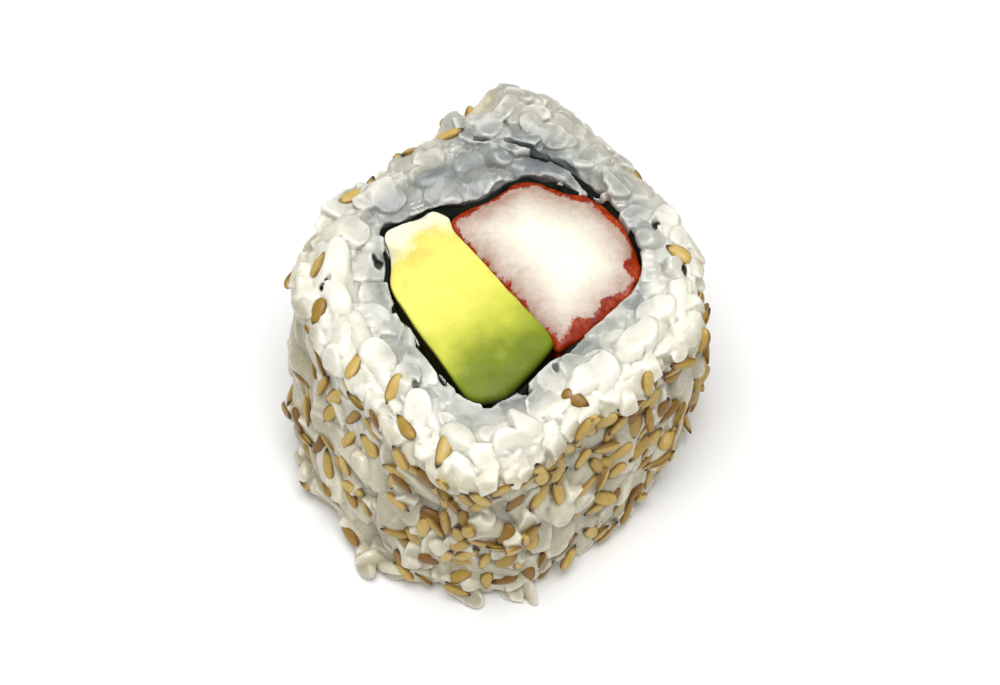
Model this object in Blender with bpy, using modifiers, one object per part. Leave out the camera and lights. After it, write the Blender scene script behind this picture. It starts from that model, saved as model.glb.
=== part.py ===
"""Uramaki roll: one cut piece of an inside-out sushi roll, standing on its lower cut face.

A ring of rice with a rounded square outline surrounds a spiral of nori. The tucked-in end of the nori
carries a tapering wedge of the same rice, and inside it lie a crab stick and a slice of avocado.
Metres, +Z up, the origin at the centre of the base of the whole piece's box. Run it with
blender --background --python part.py, or from Blender's text editor.
"""

import math

import bmesh
import bpy
from mathutils import Vector, noise

MM = 0.001

# The whole piece
MIDDLE_HEIGHT = 28.5 * MM  # of the upper cut above the base, at the middle of the piece
CUT_SLOPE = math.radians(6.0)  # the knife's cut rises towards +Y
GAP = 0.3 * MM  # between pieces that touch

# The rice: radii of its outline at the upper cut and at the base, evenly spaced round from +X
CUT_RADII = [
    r * MM
    for r in (
        21.7,
        19.4,
        18.8,
        20.4,
        22.6,
        18.0,
        17.4,
        20.2,
        21.5,
        20.3,
        20.4,
        22.6,
        24.9,
        20.4,
        19.6,
        21.6,
    )
]
BASE_RADII = [
    r * MM
    for r in (
        20.8,
        19.2,
        18.9,
        20.2,
        21.6,
        18.8,
        18.4,
        20.4,
        22.6,
        24.4,
        25.0,
        25.2,
        24.8,
        22.2,
        20.9,
        20.8,
    )
]
BULGE = 0.9 * MM  # of the side at half height
RIM_ROUNDING = 2.0 * MM  # at the upper edge
FOOT_ROUNDING = 0.8 * MM  # at the lower edge
GRAIN_BUMPS = 0.55 * MM  # height of the lumps that the grains make
GRAIN_PITCH = 4.2 * MM
TUCKED_DROP = 1.2 * MM  # how far the rice inside the nori sits below the outer ring
TUCKED_SHARE = (0.60, 0.76)  # shares of the radius between which that drop fades out
SEGMENTS = 96
SIDE_RINGS = 11
CAP_SHARES = (0.9, 0.8, 0.7, 0.6, 0.45, 0.25)

# The nori: its middle line in the plan, from the outer end round to the tucked-in end
NORI_ROUTE = [
    (x * MM, y * MM)
    for x, y in (
        (-2.8, 15.6),
        (0.8, 15.4),
        (4.8, 13.8),
        (8.6, 11.4),
        (12.2, 8.0),
        (14.4, 4.8),
        (15.6, 0.8),
        (14.9, -2.4),
        (12.6, -4.9),
        (9.5, -7.7),
        (6.2, -10.6),
        (3.9, -12.8),
        (1.0, -15.6),
        (-1.9, -16.6),
        (-4.7, -15.1),
        (-7.9, -10.7),
        (-10.6, -6.2),
        (-12.2, -2.5),
        (-12.1, 1.0),
        (-13.0, 3.4),
        (-12.5, 5.2),
        (-9.6, 6.3),
        (-6.6, 7.9),
        (-2.4, 8.5),
        (0.9, 10.8),
        (3.4, 11.5),
        (8.6, 9.7),
    )
]
NORI_THICKNESS = 0.4 * MM
NORI_DROP = 1.0 * MM  # of its upper edge below the cut
NORI_LIFT = 0.3 * MM  # of its lower edge above the base
NORI_STEPS = 3  # along the route, for each of its points
NORI_ROWS = 4

# The fillings: corners of their outlines in the plan, each rounded by the radius beside them
CRAB_CORNERS = [
    (x * MM, y * MM)
    for x, y in (
        (-5.5, 5.5),
        (2.6, 11.2),
        (9.3, 8.7),
        (13.3, 5.0),
        (15.4, -0.2),
        (12.5, -3.9),
        (6.6, -9.2),
    )
]
CRAB_ROUNDING = 1.6 * MM
AVOCADO_CORNERS = [
    (x * MM, y * MM)
    for x, y in (
        (-12.2, 4.6),
        (-6.8, 6.4),
        (5.5, -8.5),
        (0.7, -15.0),
        (-2.7, -15.6),
        (-11.6, -2.0),
        (-11.2, 1.0),
    )
]
AVOCADO_ROUNDING = 1.0 * MM
FILLING_EDGE = 0.6 * MM  # rounding of the fillings' cut edges
CRAB_DROP = 0.9 * MM  # of the filling's upper face below the cut at its own edge
AVOCADO_DROP = 0.2 * MM
CRAB_CROWN = 0.6 * MM  # how far its middle swells out of the cut
AVOCADO_CROWN = 0.3 * MM
CORNER_STEPS = 4
FILLING_RINGS = 4


def catmull_rom(before, start, end, after, share):
    """A smooth value or vector between start and end."""
    square, cube = share * share, share * share * share
    return (
        start * (2 - 5 * square + 3 * cube)
        + end * (share + 4 * square - 3 * cube)
        + before * (2 * square - share - cube)
        + after * (cube - square)
    ) * 0.5


def radius_at(angle, radii):
    """The radius at an angle, smoothly through radii spaced evenly round the circle."""
    count = len(radii)
    place = angle / math.tau % 1.0 * count
    first = int(place)
    before, start, end, after = (radii[(first + k) % count] for k in (-1, 0, 1, 2))
    return catmull_rom(before, start, end, after, place - first)


def smooth_route(route, steps):
    """Points along an open smooth curve through route."""
    points = [Vector(p) for p in route]
    points = [2 * points[0] - points[1], *points, 2 * points[-1] - points[-2]]
    curve = []
    for before, start, end, after in zip(points, points[1:], points[2:], points[3:]):
        curve += [catmull_rom(before, start, end, after, k / steps) for k in range(steps)]
    return curve + [points[-2]]


def rounded_outline(corners, radius):
    """A closed counter-clockwise outline whose corners are bent off within radius of each of them."""
    outline = []
    for k, corner in enumerate(corners):
        corner = Vector(corner)
        start = corner + (Vector(corners[k - 1]) - corner).normalized() * radius
        end = corner + (Vector(corners[(k + 1) % len(corners)]) - corner).normalized() * radius
        for step in range(CORNER_STEPS + 1):
            share = step / CORNER_STEPS
            outline.append(start.lerp(corner, share).lerp(corner.lerp(end, share), share))
    return outline


def with_middles(outline, longest):
    """The outline with its long edges divided, so that no edge is longer than longest."""
    divided = []
    for start, end in zip(outline, outline[1:] + outline[:1]):
        count = max(1, math.ceil((end - start).length / longest))
        divided += [start.lerp(end, k / count) for k in range(count)]
    return divided


def cut_height(x, y):
    """Height of the knife's cut above the base."""
    return MIDDLE_HEIGHT + y * math.tan(CUT_SLOPE)


def smoothstep(low, high, value):
    share = min(1.0, max(0.0, (value - low) / (high - low)))
    return share * share * (3 - 2 * share)


def lumps(place):
    """The grains' lumps at a place on the rice, as a height between about -1 and 1 times GRAIN_BUMPS."""
    return GRAIN_BUMPS * noise.noise(place / GRAIN_PITCH) * 2.0


def material(name, colour, roughness):
    made = bpy.data.materials.new(name)
    made.use_nodes = True
    shader = made.node_tree.nodes["Principled BSDF"]
    shader.inputs["Base Color"].default_value = (*colour, 1.0)
    shader.inputs["Roughness"].default_value = roughness
    shader.inputs["Metallic"].default_value = 0.0
    return made


def new_object(name, mesh, collection, colour_material=None):
    made = bpy.data.objects.new(name, mesh)
    collection.objects.link(made)
    if colour_material:
        mesh.materials.append(colour_material)
    return made


def closed_by_rings(name, rings):
    """A closed mesh skinned over rings of equally many points, with a fan over the first and the last."""
    cage = bmesh.new()
    loops = [[cage.verts.new(p) for p in ring] for ring in rings]
    count = len(rings[0])
    for lower, upper in zip(loops, loops[1:]):
        for k in range(count):
            after = (k + 1) % count
            cage.faces.new((lower[k], lower[after], upper[after], upper[k]))
    for loop in (loops[0], loops[-1]):
        middle = cage.verts.new(sum((v.co for v in loop), Vector()) / count)
        for k in range(count):
            cage.faces.new((loop[k], loop[(k + 1) % count], middle))
    bmesh.ops.recalc_face_normals(cage, faces=cage.faces)
    mesh = bpy.data.meshes.new(name)
    cage.to_mesh(mesh)
    cage.free()
    mesh.shade_smooth()
    mesh.set_sharp_from_angle(angle=math.radians(40))
    return mesh


def rice_side_point(angle, height_share, inset, lift):
    """A point on the rice's side, height_share of the way up, moved in by inset and up by lift."""
    low, high = radius_at(angle, BASE_RADII), radius_at(angle, CUT_RADII)
    radius = low + (high - low) * height_share + BULGE * math.sin(math.pi * height_share) - inset
    x, y = radius * math.cos(angle), radius * math.sin(angle)
    return Vector((x, y, cut_height(x, y) * height_share + lift))


def rice_body():
    """The rice's outer shape, still solid: flat base, lumpy side, rounded rim and lumpy cut face."""
    angles = [math.tau * k / SEGMENTS for k in range(SEGMENTS)]
    rings = [[rice_side_point(a, 0.0, FOOT_ROUNDING, 0.0) for a in angles]]
    for row in range(SIDE_RINGS):
        share = row / (SIDE_RINGS - 1)
        lift = FOOT_ROUNDING * (1 - share) - RIM_ROUNDING * share
        ring = []
        for angle in angles:
            place = rice_side_point(angle, share, 0.0, lift)
            outwards = Vector((math.cos(angle), math.sin(angle), 0.0))
            ring.append(place + outwards * (lumps(place) if row else 0.0))
        rings.append(ring)
    for inset, drop in ((0.3, 0.7), (0.9, 0.15)):  # shares of the rim's rounding, along its arc
        rings.append([
            rice_side_point(a, 1.0, inset * RIM_ROUNDING, -drop * RIM_ROUNDING) for a in angles
        ])
    for share in CAP_SHARES:
        drop = TUCKED_DROP * (1 - smoothstep(*TUCKED_SHARE, share))
        ring = []
        for angle in angles:
            radius = radius_at(angle, CUT_RADII) * share
            x, y = radius * math.cos(angle), radius * math.sin(angle)
            place = Vector((x, y, cut_height(x, y) - drop))
            ring.append(place + Vector((0.0, 0.0, lumps(place))))
        rings.append(ring)
    return closed_by_rings("rice", rings)


def wall_along(name, route, low, high_at, rows):
    """An open upright sheet over a plan route, from low up to high_at(x, y)."""
    cage = bmesh.new()
    columns = []
    for point in route:
        top = high_at(point.x, point.y)
        columns.append([
            cage.verts.new((point.x, point.y, low + (top - low) * k / rows)) for k in range(rows + 1)
        ])
    for left, right in zip(columns, columns[1:]):
        for k in range(rows):
            cage.faces.new((left[k], right[k], right[k + 1], left[k + 1]))
    mesh = bpy.data.meshes.new(name)
    cage.to_mesh(mesh)
    cage.free()
    mesh.shade_smooth()
    return mesh


def thickened(sheet, thickness):
    """Gives an open sheet a thickness, half on each side."""
    solidify = sheet.modifiers.new("Thickness", "SOLIDIFY")
    solidify.thickness = thickness
    solidify.offset = 0.0
    solidify.use_even_offset = True
    solidify.use_quality_normals = True


def upright_prism(name, outline, low, high):
    rings = [[Vector((p.x, p.y, z)) for p in outline] for z in (low, high)]
    return closed_by_rings(name, rings)


def room_inside(curve):
    """The closed plan outline of the room inside the nori: from its tucked-in end back to where it passes it."""
    tucked_end = curve[-1]
    first_turn = curve[: len(curve) // 2]
    nearest = min(range(len(first_turn)), key=lambda k: (first_turn[k] - tucked_end).length)
    return curve[nearest:]


def carve_rice(rice, cutters):
    """Takes the nori's slot and the room inside it out of the rice."""
    below, above = -5 * MM, MIDDLE_HEIGHT + 15 * MM
    curve = smooth_route(NORI_ROUTE, NORI_STEPS)
    slot_mesh = wall_along("nori_slot", curve, below, lambda x, y: above, 1)
    slot = new_object("nori_slot", slot_mesh, cutters)
    thickened(slot, NORI_THICKNESS + 2 * GAP)
    room = new_object("filling_room", upright_prism("filling_room", room_inside(curve), below, above), cutters)
    for cutter in (slot, room):
        cutter.hide_render = True
        cutter.display_type = "WIRE"
        cut = rice.modifiers.new(cutter.name, "BOOLEAN")
        cut.operation = "DIFFERENCE"
        cut.solver = "EXACT"
        cut.object = cutter


def filling(name, corners, rounding, drop, crown):
    """A filling that runs through the piece: its outline drawn up from the base to a softly crowned cut face."""
    outline = with_middles(rounded_outline(corners, rounding), 2.4 * MM)
    middle = sum(outline, Vector((0.0, 0.0))) / len(outline)

    def ring(inset_share, height_at):
        points = [p.lerp(middle, inset_share) for p in outline]
        return [Vector((p.x, p.y, height_at(p.x, p.y))) for p in points]

    reach = max((p - middle).length for p in outline)
    edge = FILLING_EDGE / reach
    rings = [ring(edge, lambda x, y: 0.0)]
    for row in range(FILLING_RINGS):
        share = row / (FILLING_RINGS - 1)
        rings.append(ring(0.0, lambda x, y, s=share: FILLING_EDGE + (cut_height(x, y) - drop - 2 * FILLING_EDGE) * s))
    for inset in (edge, 0.35, 0.7):
        swell = crown * smoothstep(0.0, 1.0, inset)
        rings.append(ring(inset, lambda x, y, s=swell: cut_height(x, y) - drop + s))
    return closed_by_rings(name, rings)


def clear_scene():
    for old in list(bpy.data.objects):
        bpy.data.objects.remove(old)


def centre_base(parent, objects):
    """Moves the whole piece so that the origin is at the centre of the base of its box."""
    bpy.context.view_layer.update()
    graph = bpy.context.evaluated_depsgraph_get()
    corners = [Vector(c) for o in objects for c in o.evaluated_get(graph).bound_box]
    middle = [(min(c[k] for c in corners) + max(c[k] for c in corners)) / 2 for k in (0, 1)]
    parent.location = (-middle[0], -middle[1], 0.0)


def main():
    clear_scene()
    pieces = bpy.data.collections.new("uramaki_roll")
    cutters = bpy.data.collections.new("cutters")
    for collection in (pieces, cutters):
        bpy.context.scene.collection.children.link(collection)

    rice = new_object("rice", rice_body(), pieces, material("rice", (0.86, 0.86, 0.80), 0.45))
    carve_rice(rice, cutters)

    nori_mesh = wall_along(
        "nori",
        smooth_route(NORI_ROUTE, NORI_STEPS),
        NORI_LIFT,
        lambda x, y: cut_height(x, y) - NORI_DROP,
        NORI_ROWS,
    )
    nori = new_object("nori", nori_mesh, pieces, material("nori", (0.015, 0.022, 0.014), 0.6))
    thickened(nori, NORI_THICKNESS)

    crab_mesh = filling("crab_stick", CRAB_CORNERS, CRAB_ROUNDING, CRAB_DROP, CRAB_CROWN)
    crab = new_object("crab_stick", crab_mesh, pieces, material("crab_stick", (0.93, 0.86, 0.80), 0.4))

    avocado_mesh = filling("avocado", AVOCADO_CORNERS, AVOCADO_ROUNDING, AVOCADO_DROP, AVOCADO_CROWN)
    avocado = new_object("avocado", avocado_mesh, pieces, material("avocado", (0.83, 0.80, 0.22), 0.35))

    parent = bpy.data.objects.new("roll", None)
    pieces.objects.link(parent)
    solids = (rice, nori, crab, avocado)
    for piece in (*solids, *cutters.objects):
        piece.parent = parent
    centre_base(parent, solids)


main()
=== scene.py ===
"""Looks of the uramaki roll: pressed rice grains, sesame seeds, nori, crab stick and avocado.

The rice, the crab stick and the avocado are built as distance fields round the CAD solids, on a fine grid,
and turned into meshes. Lengths are in millimetres up to where a mesh is made.
"""

import math

import bmesh
import bpy
import numpy as np
import openvdb
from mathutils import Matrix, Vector
from mathutils.bvhtree import BVHTree


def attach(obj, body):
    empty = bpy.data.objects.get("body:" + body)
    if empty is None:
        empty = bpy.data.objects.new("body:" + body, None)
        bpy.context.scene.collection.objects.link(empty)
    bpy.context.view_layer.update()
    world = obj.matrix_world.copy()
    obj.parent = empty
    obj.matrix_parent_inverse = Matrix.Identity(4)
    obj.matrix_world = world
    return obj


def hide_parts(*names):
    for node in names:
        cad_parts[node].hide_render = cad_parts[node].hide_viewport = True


MM = 0.001

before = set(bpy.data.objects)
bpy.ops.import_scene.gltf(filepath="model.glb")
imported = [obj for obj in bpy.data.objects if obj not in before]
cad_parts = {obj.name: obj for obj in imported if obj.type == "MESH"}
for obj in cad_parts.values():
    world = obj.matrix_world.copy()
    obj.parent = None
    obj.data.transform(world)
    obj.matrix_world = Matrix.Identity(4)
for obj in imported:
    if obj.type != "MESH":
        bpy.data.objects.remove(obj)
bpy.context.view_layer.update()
rng = np.random.default_rng(20)


# ---------------------------------------------------------------- fields on a grid

VOXEL = 0.18
MARGIN = 2.0


def node_triangles(name):
    """A CAD node's corner points (mm) and triangles."""
    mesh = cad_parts[name].data
    points = np.empty(len(mesh.vertices) * 3, np.float32)
    mesh.vertices.foreach_get("co", points)
    mesh.calc_loop_triangles()
    triangles = np.empty(len(mesh.loop_triangles) * 3, np.int32)
    mesh.loop_triangles.foreach_get("vertices", triangles)
    return points.reshape(-1, 3) / MM, triangles.reshape(-1, 3)


class Grid:
    """A regular grid of points round a CAD node, with the signed distance to it (negative inside)."""

    def __init__(self, name, voxel, band, margin=MARGIN):
        self.voxel = voxel
        points, _ = node_triangles(name)
        self.low = np.floor((points.min(0) - margin) / voxel).astype(int)
        self.shape = tuple(np.ceil((points.max(0) + margin) / voxel).astype(int) - self.low + 1)
        self.axes = [(self.low[k] + np.arange(self.shape[k])) * voxel for k in range(3)]
        self.distance = self.distance_to(name, band)

    def distance_to(self, name, band):
        """The signed distance to a CAD node on this grid, right within band of its surface."""
        points, triangles = node_triangles(name)
        level_set = openvdb.FloatGrid.createLevelSetFromPolygons(
            points,
            triangles=triangles.astype(np.uint32),
            transform=openvdb.createLinearTransform(voxelSize=self.voxel),
            halfWidth=band / self.voxel,
        )
        distance = np.empty(self.shape, np.float32)
        level_set.copyToArray(distance, ijk=tuple(int(k) for k in self.low))
        return distance

    def coordinates(self, kind=float):
        """x, y and z of the grid's points, each along its own axis of the grid."""
        return np.ix_(*(axis.astype(kind) for axis in self.axes))

    def block(self, low, high):
        """Slices of the grid between two corners."""
        first = np.maximum(np.floor(low / self.voxel).astype(int) - self.low, 0)
        last = np.minimum(np.ceil(high / self.voxel).astype(int) - self.low + 1, self.shape)
        return tuple(slice(int(a), int(b)) for a, b in zip(first, last))

    def at(self, values, points):
        """values read off at points, each from the nearest grid point."""
        index = np.rint(points / self.voxel).astype(int) - self.low
        index = np.clip(index, 0, np.array(self.shape) - 1)
        return values[index[:, 0], index[:, 1], index[:, 2]]

    def noise(self, pitch, seed):
        """Noise on the whole grid."""
        return Noise(pitch, seed).over(self.axes)

    def surface(self, field):
        """Points (mm) and faces of the surface where field is zero."""
        grid = openvdb.FloatGrid()
        grid.background = float(MARGIN)
        grid.transform = openvdb.createLinearTransform(voxelSize=self.voxel)
        grid.gridClass = openvdb.GridClass.LEVEL_SET
        grid.copyFromArray(field.astype(np.float32), ijk=tuple(int(k) for k in self.low))
        points, quads = grid.convertToQuads(0.0)
        return points, quads[:, ::-1]


def moved_along(axis, field, steps, **padding):
    """field moved along one axis of its grid by each number of steps from -steps to steps."""
    around = [(steps, steps) if k == axis else (0, 0) for k in range(field.ndim)]
    padded = np.pad(field, around, **padding)
    size = field.shape[axis]
    return [np.take(padded, range(k, k + size), axis=axis) for k in range(2 * steps + 1)]


def blurred(field, times):
    """field smoothed by its neighbours on the grid."""
    for _ in range(times):
        for axis in range(3):
            before, middle, after = moved_along(axis, field, 1, mode="edge")
            field = 0.25 * before + 0.5 * middle + 0.25 * after
    return field


def smooth_max(a, b, width):
    """The larger of a and b, rounded off over width."""
    share = np.clip(0.5 + 0.5 * (a - b) / width, 0.0, 1.0)
    return b + (a - b) * share + width * share * (1.0 - share)


def smooth_min(a, b, width):
    """The smaller of a and b, rounded off over width."""
    return -smooth_max(-a, -b, width)


def step_between(low, high, value):
    share = np.clip((value - low) / (high - low), 0.0, 1.0)
    return share * share * (3.0 - 2.0 * share)


class Noise:
    """Smooth random values between about -1 and 1, with bumps of a given pitch (mm)."""

    SIZE = 32

    def __init__(self, pitch, seed):
        self.pitch = np.broadcast_to(np.asarray(pitch, float), (3,))
        self.table = np.random.default_rng(seed).uniform(-1, 1, (self.SIZE,) * 3).astype(np.float32)

    def __call__(self, x, y, z):
        places = [np.asarray(v) / p for v, p in zip((x, y, z), self.pitch)]
        first = [np.floor(p).astype(int) for p in places]
        share = [p - f for p, f in zip(places, first)]
        share = [s * s * (3 - 2 * s) for s in share]
        total = 0.0
        for corner in range(8):
            bits = [corner >> k & 1 for k in range(3)]
            weight = 1.0
            for bit, s in zip(bits, share):
                weight = weight * (s if bit else 1.0 - s)
            index = [(f + bit) % self.SIZE for f, bit in zip(first, bits)]
            total = total + weight * self.table[index[0], index[1], index[2]]
        return total

    def over(self, axes):
        """The noise on a whole grid, from its three axes."""
        values = self.table
        for k, (axis, pitch) in enumerate(zip(axes, self.pitch)):
            first = np.floor(axis / pitch).astype(int)
            share = (axis / pitch - first).astype(np.float32)
            share = (share * share * (3 - 2 * share)).reshape([-1 if j == k else 1 for j in range(3)])
            lower = np.take(values, first % self.SIZE, axis=k)
            upper = np.take(values, (first + 1) % self.SIZE, axis=k)
            values = lower * (1 - share) + upper * share
        return values


class Plane:
    """The plane through places as nearly as it can go, by its slopes along x and y and its height at 0, 0."""

    def __init__(self, x, y, z):
        self.slopes = np.linalg.lstsq(np.column_stack([x, y, np.ones(len(x))]), z, rcond=None)[0]

    def height(self, x, y):
        return x * self.slopes[0] + y * self.slopes[1] + self.slopes[2]


# ---------------------------------------------------------------- meshes

def scene_object(name, data):
    made = bpy.data.objects.new(name, data)
    bpy.context.scene.collection.objects.link(made)
    return made


def mesh_object(name, points, faces):
    """An object from points in mm."""
    mesh = bpy.data.meshes.new(name)
    mesh.from_pydata((points * MM).tolist(), [], faces.tolist() if hasattr(faces, "tolist") else faces)
    mesh.update()
    mesh.shade_smooth()
    return scene_object(name, mesh)


def object_points(thing):
    points = np.empty(len(thing.data.vertices) * 3, np.float32)
    thing.data.vertices.foreach_get("co", points)
    return points.reshape(-1, 3) / MM


def set_attributes(thing, **attributes):
    """Float attributes on the points of an object, for its material."""
    for key, values in attributes.items():
        attribute = thing.data.attributes.new(key, "FLOAT", "POINT")
        attribute.data.foreach_set("value", np.asarray(values, np.float32))


def thinned(thing, triangle_limit):
    """The object with its mesh reduced to at most triangle_limit triangles."""
    count = sum(len(p.vertices) - 2 for p in thing.data.polygons)
    if count > triangle_limit:
        decimate = thing.modifiers.new("Thin", "DECIMATE")
        decimate.ratio = triangle_limit / count
        decimate.use_collapse_triangulate = True
        graph = bpy.context.evaluated_depsgraph_get()
        mesh = bpy.data.meshes.new_from_object(thing.evaluated_get(graph))
        thing.modifiers.clear()
        old = thing.data
        thing.data = mesh
        bpy.data.meshes.remove(old)
        mesh.name = thing.name
        mesh.shade_smooth()
    return thing


def signed_distances(name, places):
    """The distance from each place to a CAD node, negative inside, by its nearest face."""
    points, triangles = node_triangles(name)
    tree = BVHTree.FromPolygons(points.tolist(), triangles.tolist())
    found = np.empty(len(places), np.float32)
    for k, place in enumerate(places.tolist()):
        nearest, normal, _, distance = tree.find_nearest(place)
        outside = (Vector(place) - nearest).dot(normal) > 0
        found[k] = distance if outside else -distance
    return found


# ---------------------------------------------------------------- rice

GRAIN_LENGTH = (5.2, 7.0)
GRAIN_WIDTH = (2.2, 2.8)
GRAIN_FLATNESS = (0.75, 0.95)
BLEND = 0.055
FAR = 9.0
CORE_DEPTH = 1.1
CUT_CORE_DEPTH = 0.3
NORI_CLEARANCE = 0.06
FILLING_CLEARANCE = 0.5
LIP_REACH = 1.1
PIT_COUNT = 9
RICE_TRIANGLES = 196_000
CUT_BAND = 9.0
CUT_HEIGHT = 28.0
CUT_RISE = 0.1
LINE_HEIGHT = 20.0
OUTER_WALL_RADIUS = 17.0

# Layers of grains: (depth of their middles, spacing, seed)
SIDE_LAYERS = ((2.3, 3.2, 11), (1.6, 3.1, 12), (1.0, 3.1, 13))
CUT_LAYERS = ((1.8, 2.4, 21), (1.0, 2.6, 22), (0.7, 2.3, 23))
RIM_LAYERS = ((1.6, 2.0, 26), (0.8, 2.0, 27))

# Slices of grains that stand out at the rim: (x, y, height above the cut, length, width, turn in degrees)
STANDING_SLICES = (
    (1.9, 22.3, 0.5, 3.2, 3.0, 20),
    (2.3, 20.2, 0.8, 3.0, 3.4, 70),
    (4.5, 19.8, 1.0, 2.4, 3.3, 80),
    (2.8, 16.9, 0.7, 5.6, 3.6, 10),
    (-2.4, 18.0, 0.5, 5.6, 3.0, -32),
    (7.2, 18.6, 0.4, 4.0, 2.8, -40),
    (-12.9, 10.4, 0.4, 4.2, 2.8, 35),
    (-16.6, 8.6, 0.5, 4.6, 2.8, 20),
    (18.4, 7.0, 0.4, 3.6, 2.8, 70),
)

# Loose grains round the foot: (angle in degrees, radius, height, how many, spread)
FOOT_CLUMPS = (
    (205, 21.9, 4.0, 5, 0.6),
    (234, 23.2, 1.5, 5, 0.6),
    (243, 23.2, 1.8, 4, 0.7),
    (262, 23.4, 1.3, 4, 0.7),
    (277, 22.6, 1.2, 3, 0.7),
)

# Hollows at the foot: (angle in degrees, radius, height, size)
FOOT_HOLLOWS = (
    (217, 26.4, 0.6, 4.0),
    (252, 27.2, 0.4, 2.9),
    (290, 23.0, 0.3, 2.8),
    (20, 24.3, 0.4, 3.2),
    (120, 23.8, 0.4, 3.0),
)

# Hollows at the rim, as at the foot: beside the slices that stand out at the back, and the wedge's tip
RIM_HOLLOWS = (
    (96, 23.1, 31.0, 2.9),
    (111, 20.9, 30.5, 2.2),
    (49, 15.0, 29.9, 1.9),
)


def normals_and_areas(points, triangles):
    a, b, c = (points[triangles[:, k]] for k in range(3))
    cross = np.cross(b - a, c - a)
    length = np.linalg.norm(cross, axis=1)
    return cross / np.maximum(length, 1e-9)[:, None], length / 2


def degrees_of(places):
    """The angle of each place round the middle of the piece."""
    return np.degrees(np.arctan2(places[:, 1], places[:, 0]))


def radius_of(places):
    return np.hypot(places[:, 0], places[:, 1])


def faces_out(middle, normal):
    """Whether faces look away from the middle of the piece."""
    return (normal[:, :2] * middle[:, :2]).sum(1) > 0


def surface_samples(points, triangles, keep, spacing, seed):
    """Places spread over the chosen triangles, no nearer each other than spacing, with their normals."""
    local = np.random.default_rng(seed)
    a, b, c = (points[triangles[:, k]] for k in range(3))
    normal, area = normals_and_areas(points, triangles)
    chosen = keep((a + b + c) / 3, normal)
    weight = np.where(chosen, area, 0.0)
    tries = int(weight.sum() / spacing**2 * 9)
    index = local.choice(len(triangles), tries, p=weight / weight.sum())
    u, v = local.random((2, tries))
    flip = u + v > 1
    u[flip], v[flip] = 1 - u[flip], 1 - v[flip]
    places = a[index] + (b - a)[index] * u[:, None] + (c - a)[index] * v[:, None]
    kept = []
    cells = {}
    for k, place in enumerate(places):
        cell = tuple(np.floor(place / spacing).astype(int))
        near = (
            cells.get((cell[0] + i, cell[1] + j, cell[2] + m), ())
            for i in (-1, 0, 1)
            for j in (-1, 0, 1)
            for m in (-1, 0, 1)
        )
        if all(np.sum((places[n] - place) ** 2) >= spacing**2 for group in near for n in group):
            cells.setdefault(cell, []).append(k)
            kept.append(k)
    return places[kept], normal[index[kept]]


def unit(vector):
    return vector / np.linalg.norm(vector)


def frame_about(normal, turn):
    """Two directions across normal, turned about it, and the normal itself, as rows."""
    helper = np.array([0.0, 0.0, 1.0]) if abs(normal[2]) < 0.9 else np.array([1.0, 0.0, 0.0])
    side = unit(np.cross(helper, normal))
    up = np.cross(normal, side)
    along = side * math.cos(turn) + up * math.sin(turn)
    return np.array([along, np.cross(normal, along), normal])


def tilted(axes, pitch, roll):
    """axes with the grain nosed down by pitch and rolled by roll."""
    along, across, normal = axes
    nosed = along * math.cos(pitch) - normal * math.sin(pitch)
    raised = normal * math.cos(pitch) + along * math.sin(pitch)
    across = across * math.cos(roll) + raised * math.sin(roll)
    return np.array([nosed, across, np.cross(nosed, across)])


def random_axes():
    return frame_about(unit(rng.normal(0.0, 1.0, 3)), rng.uniform(0, math.tau))[[2, 0, 1]]


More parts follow.
